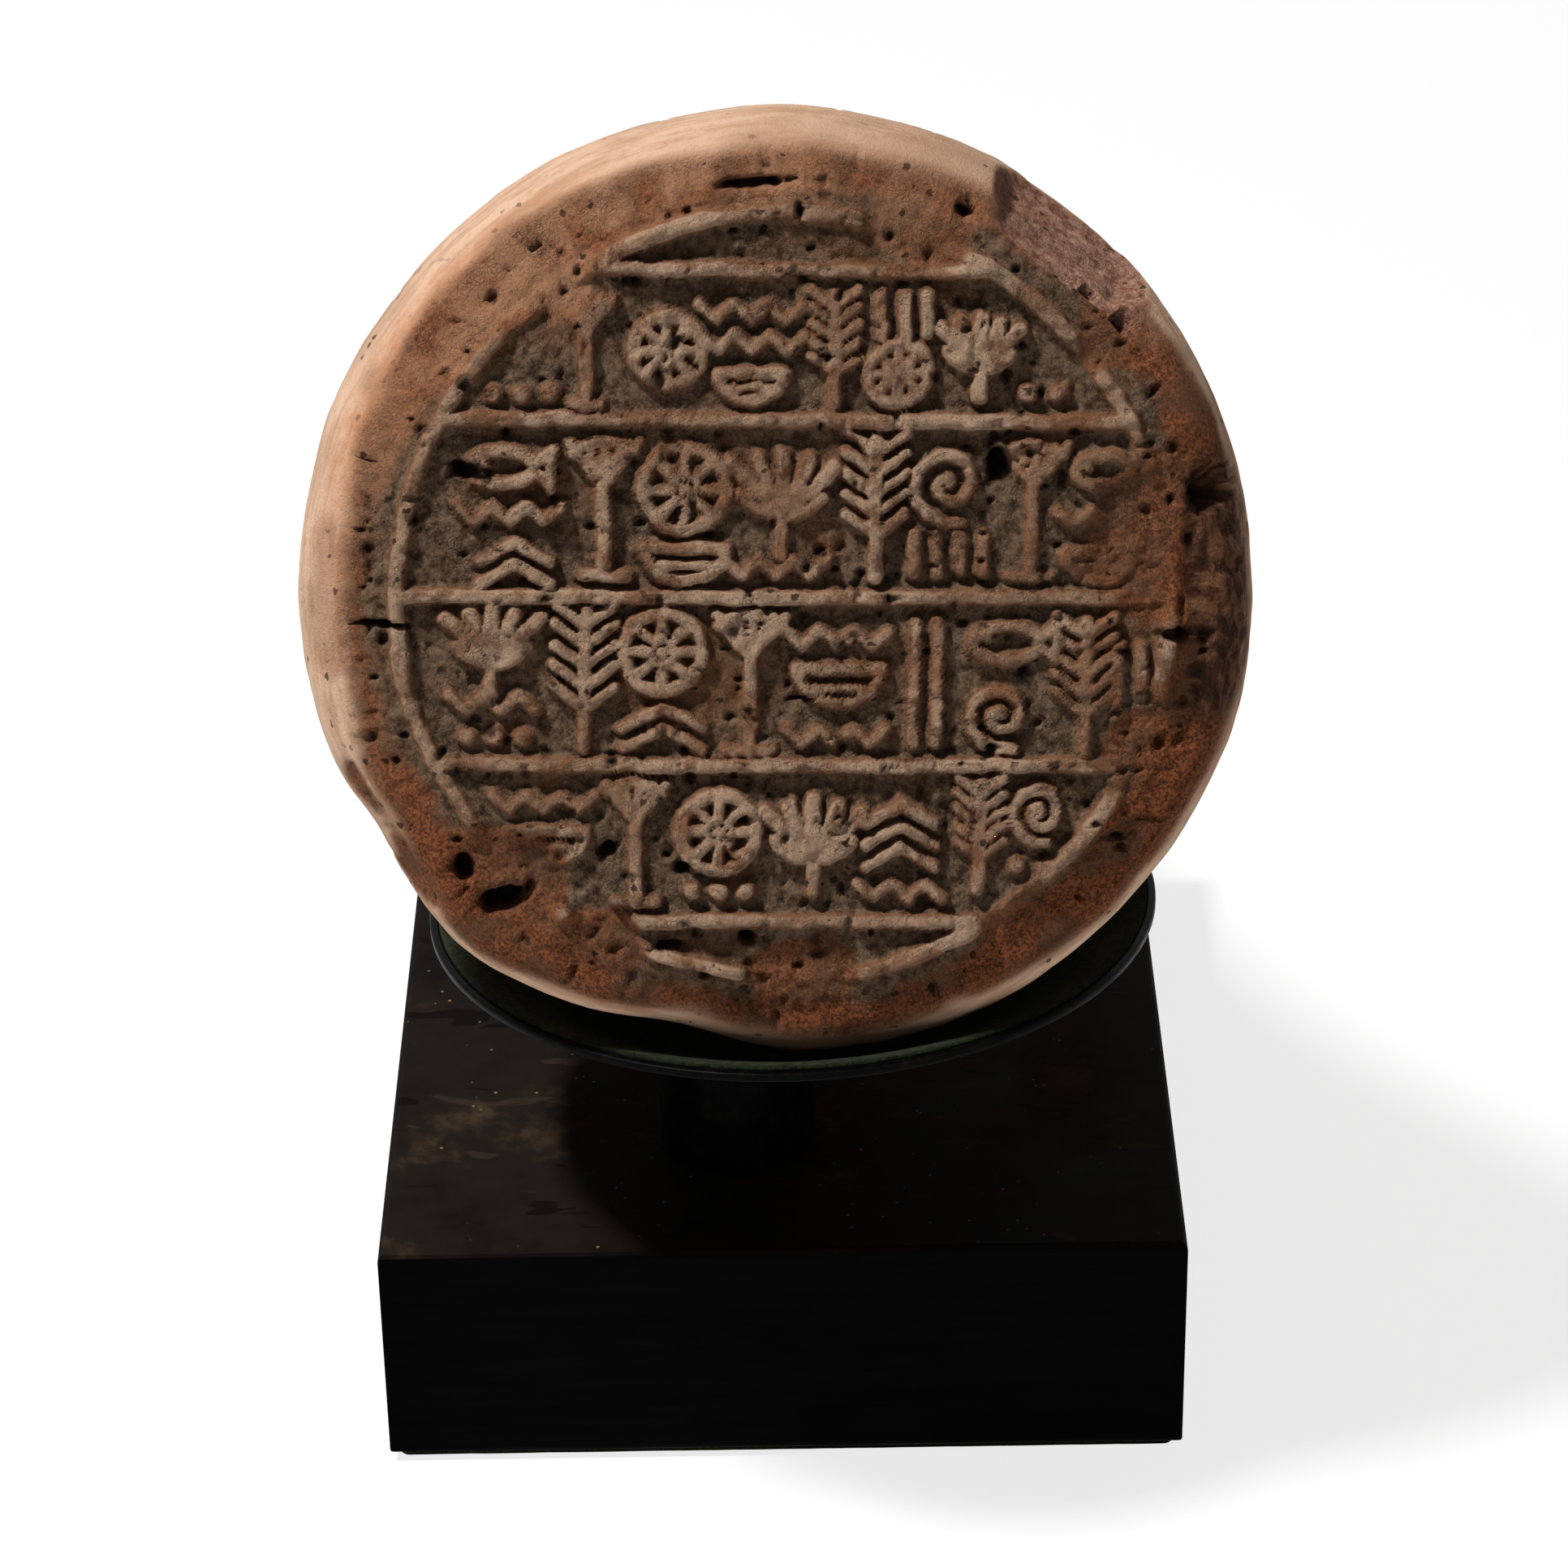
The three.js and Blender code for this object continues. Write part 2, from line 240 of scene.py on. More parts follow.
# Triangles between a ring and one with a third of its points.
def reducingFaces(fine, coarse):
    a, b, c, d = fine[0::3], fine[1::3], fine[2::3], np.roll(fine, -3)[0::3]
    e, f = coarse, np.roll(coarse, -1)
    return np.concatenate([np.stack(t, -1) for t in ((e, b, a), (e, c, b), (e, f, c), (f, d, c))])


# The smooth body: face grid at 0, rings along -Z and an end grid, with outward directions.
def coneSurface():
    n, m = cone["faceCells"], cone["coarseCells"]
    distances, radii = np.array(cone["profile"], float).T
    x, y = discGrid(n)
    faceRadius = radii[0]
    face = np.stack([x.ravel() * faceRadius, y.ravel() * faceRadius, np.zeros(x.size)], -1)
    faceNormal = np.tile([0.0, 0, 1], (len(face), 1))
    faces = [gridFaces(n, 0)]
    points, normals = [face], [faceNormal]
    count = len(face)
    last = gridEdge(n, 0)

    def ring(distance, cells):
        angle = -np.pi / 4 + np.arange(4 * cells) * np.pi / 2 / cells
        radius = np.interp(distance, distances, radii)
        before, after = np.interp([distance - 0.8, distance + 0.8], distances, radii)
        slope = (after - before) / 1.6
        out = np.stack([np.cos(angle), np.sin(angle), np.full(angle.size, slope)], -1)
        place = np.stack([radius * np.cos(angle), radius * np.sin(angle), np.full(angle.size, -distance)], -1)
        return place, out / np.linalg.norm(out, axis=1)[:, None]

    fine = cone["fineSideEnd"] * (np.arange(1, cone["fineRings"] + 1) / cone["fineRings"]) ** 1.35
    for distance in fine:
        place, out = ring(distance, n)
        points.append(place)
        normals.append(out)
        here = count + np.arange(4 * n)
        faces.append(bandFaces(last, here))
        count += 4 * n
        last = here
    coarse = np.linspace(cone["fineSideEnd"] + 1.4, distances[-1], cone["coarseRings"])
    for k, distance in enumerate(coarse):
        place, out = ring(distance, m)
        points.append(place)
        normals.append(out)
        here = count + np.arange(4 * m)
        faces.append(reducingFaces(last, here) if k == 0 else bandFaces(last, here))
        count += 4 * m
        last = here
    x, y = discGrid(m)
    inner = np.hypot(x, y).ravel()
    cap = np.stack([x.ravel() * radii[-1], y.ravel() * radii[-1],
                    -distances[-1] - (cone["length"] - distances[-1]) * (1 - inner ** 2)], -1)
    edge = gridEdge(m, 0)
    keep = np.setdiff1d(np.arange(len(cap)), edge)
    renumber = np.empty(len(cap), int)
    renumber[keep] = count + np.arange(len(keep))
    renumber[edge] = last
    points.append(cap[keep])
    normals.append(np.tile([0.0, 0, -1], (len(keep), 1)))
    faces.append(renumber[gridFaces(m, 0, flip=True)])
    return np.concatenate(points), np.concatenate(normals), faces


# Distance from each point to a straight stroke.
def segmentDistance(p, a, b):
    a, b = np.array(a, float), np.array(b, float)
    ab = b - a
    t = np.clip(((p - a) @ ab) / max(ab @ ab, 1e-9), 0, 1)
    return np.linalg.norm(p - a - t[:, None] * ab, axis=1)


# Distance to a bent stroke: the least of its straight runs.
def strokeDistance(p, path):
    return np.min([segmentDistance(p, a, b) for a, b in zip(path[:-1], path[1:])], axis=0)


def arcPath(cx, cy, radius, start, end, steps=10, squash=1.0):
    angles = np.radians(np.linspace(start, end, steps))
    return [(cx + radius * math.cos(t), cy + squash * radius * math.sin(t)) for t in angles]


# Ornament: each motif gives strokes (path, width) about its own middle, at its real size in mm

def waterMotif(length, rise=1.3, step=1.5):
    count = int(length / step)
    return [([(-length / 2 + i * step, rise / 2 * (-1) ** i) for i in range(count + 1)], 1.0)]


def papyrusMotif(height):
    top = height / 2
    head = top - height * 0.32
    fan = [([(0, head), (s * height * 0.26, top)], 0.9) for s in (-1, -0.45, 0.1, 0.6, 1)]
    return [([(0, -top), (0, head)], 1.2), *fan, (arcPath(0, head - 0.3, height * 0.36, 50, 130, 8), 1.0),
            ([(-height * 0.16, -top), (height * 0.16, -top)], 1.0)]


def lotusMotif(size):
    petals = [([(0, -size * 0.2), (s * size * 0.5, size * 0.42 - abs(s) * size * 0.12)], 1.3)
              for s in (-1, -0.5, 0, 0.5, 1)]
    return petals + [([(0, -size * 0.2), (0, -size * 0.55)], 1.2),
                     (arcPath(0, size * 0.1, size * 0.42, 200, 340, 9, 0.7), 1.1)]


def rosetteMotif(radius):
    petals = [([(0.35 * radius * math.cos(t), 0.35 * radius * math.sin(t)),
                (0.78 * radius * math.cos(t), 0.78 * radius * math.sin(t))], 1.0)
              for t in np.arange(8) * math.pi / 4]
    return [(arcPath(0, 0, radius, 0, 360, 22), 1.1), ([(0, 0), (0.01, 0)], 1.3), *petals]


def spiralMotif(radius):
    angles = np.linspace(0, 3.6 * math.pi, 26)
    return [([(radius * t / angles[-1] * math.cos(t),
               radius * t / angles[-1] * math.sin(t)) for t in angles], 1.0)]


def chevronMotif(width, rows):
    return [([(-width / 2, k * 1.9), (0, k * 1.9 + width * 0.28), (width / 2, k * 1.9)], 1.0)
            for k in np.arange(rows) - rows / 2]


def palmMotif(height):
    top = height / 2
    fronds = [([(0, y), (s * height * 0.22, y + height * 0.16)], 0.9)
              for s in (-1, 1) for y in np.linspace(-top * 0.4, top * 0.8, 5)]
    return [([(0, -top), (0, top)], 1.2), *fronds]


def basketMotif(width):
    return [(arcPath(0, width * 0.15, width / 2, 180, 360, 12, 0.8), 1.1),
            ([(-width / 2, width * 0.15), (width / 2, width * 0.15)], 1.1),
            ([(-width * 0.28, -width * 0.06), (width * 0.28, -width * 0.06)], 0.8)]


def fishMotif(length):
    body = arcPath(0, 0, length * 0.36, 20, 340, 18, 0.5)
    return [(body, 1.1),
            ([(length * 0.33, 0.2), (length * 0.52, 1.6), (length * 0.52, -1.6), (length * 0.33, 0)], 1.0),
            ([(-length * 0.2, 0.3), (-length * 0.19, 0.3)], 0.9)]


def dotsMotif(count, gap):
    places = [(k - (count - 1) / 2) * gap for k in range(count)]
    return [([(x, 0), (x + 0.01, 0)], 1.5) for x in places]


def barsMotif(count, height):
    places = [(k - (count - 1) / 2) * 2.0 for k in range(count)]
    return [([(x, -height / 2), (x, height / 2)], 1.1) for x in places]


# Row by row, from the top: (motif, x, y) in mm on the face
ornament = [
    (papyrusMotif(9), -17.5, 21.6), (rosetteMotif(3), -10.4, 21.8), (waterMotif(9), -3.2, 25.2),
    (waterMotif(9), -3.2, 22.6), (basketMotif(6), -3.2, 19), (palmMotif(9.5), 4, 21.8),
    (barsMotif(3, 3.4), 10, 25), (rosetteMotif(2.6), 9.6, 20), (lotusMotif(7), 16.6, 21.8),
    (dotsMotif(2, 2.6), 22.2, 18.4), (dotsMotif(3, 2.4), -23, 18),
    (fishMotif(8), -24.5, 11.6), (waterMotif(9), -24, 7.6), (chevronMotif(6, 2), -23.5, 3.4),
    (papyrusMotif(11.5), -15.8, 8), (rosetteMotif(3.6), -8.8, 9.8), (basketMotif(7), -8.8, 3.6),
    (lotusMotif(9), -0.4, 9.2), (waterMotif(10), -0.4, 3), (palmMotif(12), 7.8, 8.2),
    (spiralMotif(3.6), 14.2, 10.4), (barsMotif(4, 3.4), 14.2, 4.2), (papyrusMotif(11.5), 21.4, 8),
    (fishMotif(7), 27.6, 11.6), (waterMotif(7.5), 27.4, 7.4), (basketMotif(6), 27.4, 3.4),
    (lotusMotif(8), -25.5, -4), (waterMotif(8), -25.2, -9), (dotsMotif(3, 2.4), -25.2, -12),
    (palmMotif(12), -17.4, -7), (rosetteMotif(3.4), -10.6, -4.4), (chevronMotif(7, 2), -10.6, -11.2),
    (papyrusMotif(12), -3, -7.2), (waterMotif(9), 4.6, -3.2), (basketMotif(7.5), 4.8, -7),
    (waterMotif(9), 4.6, -11.8), (barsMotif(2, 10.5), 12.4, -7.2), (fishMotif(8.5), 19.4, -3.6),
    (spiralMotif(3.2), 19, -10), (palmMotif(11.5), 26.4, -7.6), (barsMotif(2, 8), 30.4, -8),
    (waterMotif(9), -21, -17.8), (basketMotif(6.5), -20.6, -21.4), (papyrusMotif(10.5), -12.8, -21.4),
    (rosetteMotif(3.4), -5.6, -20.4), (dotsMotif(3, 2.3), -5.6, -25.8), (lotusMotif(8.5), 2.8, -21.2),
    (chevronMotif(6, 3), 10.4, -20.6), (waterMotif(8), 10.6, -25.8), (palmMotif(9.5), 17.4, -20.8),
    (spiralMotif(2.8), 22.6, -18.6), (dotsMotif(2, 2.4), 22, -23.4),
]


# Raised ornament, 0..1: each stroke is a ridge whose sides fall off about half its width out.
def reliefAt(p):
    raised = np.zeros(len(p))
    flat3 = np.column_stack([p, np.zeros(len(p))])
    shift = [0.28 * layeredNoise(flat3, 3.0, seed, 2) + 0.14 * valueNoise(flat3, 0.9, seed + 3)
             for seed in (101, 131)]
    p = p + np.column_stack(shift)
    reach = np.hypot(p[:, 0], p[:, 1])

    def ridge(distance, width):
        return 1 - smoothStep(distance, width * 0.27, width * 0.67)

    border = cone["borderRadius"]
    raised = np.maximum(raised, ridge(np.abs(reach - border), cone["lineWidth"] * 1.1))
    for y in cone["registerLines"]:
        half = math.sqrt(border ** 2 - y ** 2)
        raised = np.maximum(raised, ridge(segmentDistance(p, (-half, y), (half, y)), cone["lineWidth"]))
    for strokes, x, y in ornament:
        near = np.hypot(p[:, 0] - x, p[:, 1] - y) < 10
        local = p[near] - (x, y)
        best = np.zeros(len(local))
        for path, width in strokes:
            best = np.maximum(best, ridge(strokeDistance(local, path), width * 1.25))
        raised[near] = np.maximum(raised[near], 0.92 * best)
    return raised


# Damage on the face: (x, y, half width, half height, turn in degrees, depth), mm
holes = [
    (18.4, 12.2, 1.25, 1.7, 10, 3.4), (-27.6, 11.2, 2.2, 0.9, -12, 2.4), (-24.2, -26.4, 2.8, 1.1, 20, 3.2),
    (-27.8, -24, 1.1, 1.4, 0, 2.4), (-15.2, -22.2, 1.1, 0.8, 20, 2.0), (-8.6, -23.8, 0.9, 0.7, 0, 1.6),
    (-3, -30, 1.0, 0.6, 0, 1.8), (15.2, 34.2, 0.9, 0.9, 0, 2.0), (0.9, 34, 0.6, 0.8, 0, 1.6),
    (-22.4, 31.2, 1.1, 0.6, 10, 1.4), (34, -2.8, 1.3, 0.8, 0, 1.8), (37.5, 9.8, 2.4, 2.0, 40, 5.0),
    (-34.8, -2.2, 2.6, 0.35, -3, 1.8), (-3.2, 36.2, 3.6, 0.5, 4, 1.4), (1.5, -8.6, 1.5, 0.3, 0, 1.0),
    (-10, -31, 1.8, 0.5, 10, 1.2), (29.4, 24.6, 0.9, 1.2, 30, 2.4), (26.6, 27.4, 1.0, 0.9, 0, 2.6),
]

# Spalled patches, where the stamp is lost: (x, y, radius, depth), mm
spalls = [
    (-23, 30, 8, 0.5), (-30, 24, 5, 0.35), (-24.5, -25.5, 7, 0.7), (-16, -31, 5, 0.4), (34, 6, 9, 0.5),
    (30, 24, 6, 0.5), (12, 33.5, 6, 0.3), (33, -14, 6, 0.3), (22, -29, 5, 0.3), (2, -35, 6, 0.4),
]

# Broken facets: (angle on the face, distance out, depth back, tilt from the face, reach, roughness),
# degrees and mm
facets = [
    (47, 38.6, 0.0, 44, 14, 0.35), (52, 40.0, 5.0, 66, 9, 0.3), (262, 40.2, 1.0, 62, 13, 0.3),
    (212, 40.6, 2.0, 66, 9, 0.3), (8, 40.3, 1.0, 55, 10, 0.8), (180, 39.6, 0.4, 52, 11, 0.25),
    (152, 39.9, 0.4, 50, 10, 0.25),
]


# Cuts each facet: a point past the facet's plane slides back to it, inside the facet's reach.
def breakFacets(points):
    broken = np.zeros(len(points))
    for angle, out, back, tilt, reach, rough in facets:
        a, t = math.radians(angle), math.radians(tilt)
        centre = np.array([out * math.cos(a), out * math.sin(a), -back])
        normal = np.array([math.sin(t) * math.cos(a), math.sin(t) * math.sin(a), math.cos(t)])
        inward = centre - normal * 1.1
        past = (points - inward) @ normal + rough * layeredNoise(points, 2.2, 40 + angle)
        near = 1 - smoothStep(np.linalg.norm(points - centre, axis=1), reach * 0.72, reach)
        cut = np.clip(past, 0, None) * near
        points = points - cut[:, None] * normal
        # The smooth facets are shoulders that were rounded while the clay was wet
        share = 1.0 if rough >= 0.3 else 0.3
        broken = np.maximum(broken, share * smoothStep(cut, 0.02, 0.35))
    return points, broken


# Bells round the axis as (middle, width, height), degrees and mm: the swells and dents of the head's outline,
# and how far the orange rim reaches behind the face's edge and before it
bells = {
    "swell": [(230, 8, 0.7), (258, 11, -1.7), (211, 6, -0.8), (345, 14, 0.3)],
    "rimBehind": [(130, 40, 2.4), (222, 20, 3.0), (0, 45, 4.5), (285, 40, 1.4)],
    "rimBefore": [(118, 36, 4.6), (215, 22, 1.2), (318, 36, 2.4), (0, 30, 2.2)],
}


# A bell curve over the angle: e to the minus square of the gap over the width.
def bell(angle, middle, width):
    gap = (angle - middle + 180) % 360 - 180
    return np.exp(-(gap / width) ** 2)


def bellSum(angle, name):
    return sum(height * bell(angle, middle, width) for middle, width, height in bells[name])


# Where each point lies on the smooth body, in the terms that the wear and the colours use.
def coneTerms(points):
    flat = points[:, :2]
    return {
        "flat": flat, "reach": np.hypot(*flat.T), "depth": -points[:, 2],
        "angle": np.degrees(np.arctan2(flat[:, 1], flat[:, 0])) % 360,
        "onFace": 1 - smoothStep(-points[:, 2], 0.2, 1.0),
    }


# The body lumped and swelled as by hand, strongest near the head's edge, then its broken facets.
def handShaped(points, normals, at):
    seed, reach = cone["seed"], at["reach"]
    sideShare = smoothStep(reach, 30, 39) * (1 - smoothStep(at["depth"], 30, 60))
    lumps = 0.45 * layeredNoise(points, 26, seed, 3) + 0.25 * layeredNoise(points, 8, seed + 5, 3)
    shaped = points + normals * (lumps * (0.25 + 0.75 * smoothStep(reach, 30, 38)))[:, None]
    outward = at["flat"] / np.maximum(reach, 1)[:, None]
    shaped[:, :2] += outward * (bellSum(at["angle"], "swell") * sideShare)[:, None]
    return breakFacets(shaped)


# The fibrous gouge in the head's right side: 1 inside it.
def gougeAt(points, at):
    depthBack = at["depth"] + 3.0 * layeredNoise(points, 6, cone["seed"] + 75, 3)
    beside = bell(at["angle"], cone["gougeAngle"], 22) * smoothStep(at["reach"], 32.5, 37.5)
    return smoothStep(beside, 0.3, 0.8) * (1 - smoothStep(depthBack, 3, 9))


# What wear has left of the relief, 0..1, and how deep the spalled patches are, mm.
def wornRelief(points, at, broken):
    seed, flat, onFace = cone["seed"], at["flat"], at["onFace"]
    worn = smoothStep(layeredNoise(points, 9, seed + 9, 3), -0.35, 0.35)
    rightWear = smoothStep(flat[:, 0], 26, 33) * onFace
    relief = reliefAt(flat) * onFace * (0.62 + 0.38 * worn) * (1 - 0.75 * rightWear * (1 - worn))
    relief *= 1 - broken * 0.9
    spalled = np.zeros(len(points))
    for x, y, radius, depth in spalls:
        gap = np.hypot(flat[:, 0] - x, flat[:, 1] - y) + 2.2 * layeredNoise(points, 4, seed + 17, 3)
        patch = (1 - smoothStep(gap, radius * 0.55, radius)) * onFace
        relief *= 1 - 0.85 * patch
        spalled = np.maximum(spalled, patch * depth)
    return relief, spalled


# Small pocks scattered evenly over the face's area, 0..1.
def pocksAt(at):
    random = np.random.default_rng(cone["seed"])
    pocks = np.zeros(len(at["reach"]))
    for _ in range(cone["pockCount"]):
        turnTo, out = random.uniform(0, 2 * np.pi), cone["pockReach"] * math.sqrt(random.uniform())
        size = random.uniform(*cone["pockSizes"])
        dx = at["flat"][:, 0] - out * math.cos(turnTo)
        dy = at["flat"][:, 1] - out * math.sin(turnTo)
        pock = 1 - smoothStep(np.hypot(dx, dy * random.uniform(0.6, 1.7)), size * 0.4, size * 1.1)
        pocks = np.maximum(pocks, pock * (at["depth"] < 6))
    return pocks


# The larger holes, each a crumbled ellipse: how deep a point is sunk in mm, and how much painted shade
# darkens the hollow it lies in.
def holesAt(at, crumble, grain):
    sunk = np.zeros(len(crumble))
    cavityShade = np.zeros(len(crumble))
    for x, y, halfWidth, halfHeight, turn, depth in holes:
        t = math.radians(turn)
        dx, dy = at["flat"][:, 0] - x, at["flat"][:, 1] - y
        across = (dx * math.cos(t) + dy * math.sin(t)) / halfWidth
        along = (-dx * math.sin(t) + dy * math.cos(t)) / halfHeight
        fall = np.hypot(across, along) + 0.4 * crumble + 0.2 * grain
        shell = (1 - smoothStep(fall, 0.45, 1.15)) * (at["depth"] < 8)
        sunk += depth * shell
        cavityShade = np.maximum(cavityShade, shell)
    return sunk, cavityShade


# From the cone's own frame to its place: rolled about its axis, leant back, turned, and moved.
def placeCone(points):
    elevation, turn, roll = (math.radians(cone[k]) for k in ("elevation", "turn", "roll"))
    tilt = math.pi / 2 - elevation
    aboutX = np.array([[1, 0, 0], [0, math.cos(tilt), -math.sin(tilt)], [0, math.sin(tilt), math.cos(tilt)]])
    aboutZ = np.array([[math.cos(turn), -math.sin(turn), 0], [math.sin(turn), math.cos(turn), 0], [0, 0, 1]])
    aboutAxis = np.array([[math.cos(roll), -math.sin(roll), 0], [math.sin(roll), math.cos(roll), 0],
                          [0, 0, 1]])
    return points @ (aboutZ @ aboutX @ aboutAxis).T + np.array(cone["faceCentre"])


# Attributes that the clay's material reads. The rim and the slip are measured back from the face's edge, and
# alongSkin unrolls the side so that its streaks run round it.
def paintChannels(piece, points, at, channels, broken):
    seed, reach, angle = cone["seed"], at["reach"], at["angle"]
    faceRadius = cone["profile"][0][1]
    back = at["depth"] + 0.6 * np.clip(reach - faceRadius, 0, None) - np.clip(faceRadius - reach, 0, None)
    back = back + 0.9 * layeredNoise(points, 5, seed + 90, 3)
    width = 0.6 + bellSum(angle, "rimBehind") + 1.8 * layeredNoise(points, 11, seed + 97, 3)
    inwards = 0.2 + bellSum(angle, "rimBefore")
    scatter = 1.3 * layeredNoise(points, 2.4, seed + 95, 3)
    rim = smoothStep(back + scatter, -inwards - 0.8, -inwards + 1.2)
    rim = rim * (1 - smoothStep(back, width - 0.9, width + 2.2))
    brokenEdge = np.maximum(0.9 * broken, rim)
    channels = {
        **channels, "brokenEdge": brokenEdge,
        "slip": smoothStep(back + 0.6 * scatter, 0.0, 1.8) * (1 - brokenEdge),
        # lit: where the broken rim gets a painted highlight, on the upper left that the lamp lights
        "chip": bell(angle, cone["chipAngle"], 16) * broken, "lit": bell(angle, 118, 60),
        "blush": bell(angle, 145, 30) * (1 - smoothStep(back, 2, 8)),
    }
    for name, values in channels.items():
        layer = piece.data.attributes.new(name, "FLOAT", "POINT")
        layer.data.foreach_set("value", values.astype(np.float32))
    around = np.radians((angle - 270) % 360) * cone["skinRadius"]
    skin = np.stack([around, at["depth"], reach], -1) * mm
    layer = piece.data.attributes.new("alongSkin", "FLOAT_VECTOR", "POINT")
    layer.data.foreach_set("vector", skin.astype(np.float32).ravel())


def makeCone(material):
    points, normals, faces = coneSurface()
    at = coneTerms(points)
    seed, onFace = cone["seed"], at["onFace"]
    shaped, broken = handShaped(points, normals, at)
    gouged = gougeAt(points, at)
    relief, spalled = wornRelief(points, at, broken)
    pocks = pocksAt(at)
    crumble = layeredNoise(points, 1.7, seed + 20, 3)
    grain = layeredNoise(points, 0.8, seed + 30, 2)
    pits = smoothStep(layeredNoise(points, 1.5, seed + 50, 2), 0.42, 0.7)
    fibres = layeredNoise(points * np.array([1.0, 0.35, 0.6]), 1.6, seed + 70, 3)
    sunk, cavityShade = holesAt(at, crumble, grain)
    dip = onFace * (cone["crumbleHeight"] * crumble + cone["grainHeight"] * grain - cone["pitDepth"] * pits)
    dip += (1 - onFace) * (0.05 * crumble - 0.12 * pits)
    dip += relief * (cone["reliefHeight"] + 0.18 * crumble) + broken * (0.3 * crumble - 0.25 * pits)
    dip += gouged * (cone["fibreHeight"] * fibres - cone["gougeDepth"])
    dip -= spalled * (1 + 0.8 * crumble) + cone["pockDepth"] * pocks
    dip -= cone["rimDrop"] * smoothStep(at["reach"], 35.2, 37.4) * onFace + sunk
    placed = placeCone(shaped + normals * dip[:, None])
    piece = meshPiece("cone_clay", placed * mm, [face for block in faces for face in block.tolist()],
                      material)
    channels = {
        "relief": relief, "gouged": gouged, "spalled": smoothStep(spalled, 0.05, 0.3),
        # Painted shade mask: holes, pocks and pits are to be darkened near black
        "cavityShade": np.clip(np.maximum(0.75 * pocks, cavityShade) + 0.6 * pits, 0, 1),
    }
    paintChannels(piece, points, at, channels, broken)
    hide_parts("cone")
    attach(piece, "cone")
    print("cone:", len(placed), "points")


clayLook = {
    "groundDark": "#4b3423", "ground": "#8f745c", "groundWarm": "#84522f",
    "ridge": "#cdab8e", "ridgeSide": "#a2653f",
    "slip": "#c8a78d", "slipStreak": "#ad896d", "slipWarm": "#b06d43", "slipFired": "#9d7a62",
    # edgeLit is a painted highlight colour for the rim's lit side
    "edge": "#a9623b", "edgeDark": "#5e3219", "edgeGrey": "#6b4c37", "edgeLit": "#c4906c",
    "chip": "#cfa189", "chipDark": "#8a5643", "gouge": "#845b41", "gougeDark": "#2d1a12",
    # Painted shade colours: the last two stand for the shade in cracks, pits, pocks and holes
    "crackShade": "#170a04", "cavityShade": "#080301",
    "slipFiredSize": 38, "crackCell": 0.62, "grain": 0.34, "grit": 0.2, "pitSpacing": 2.3,   # mm
}


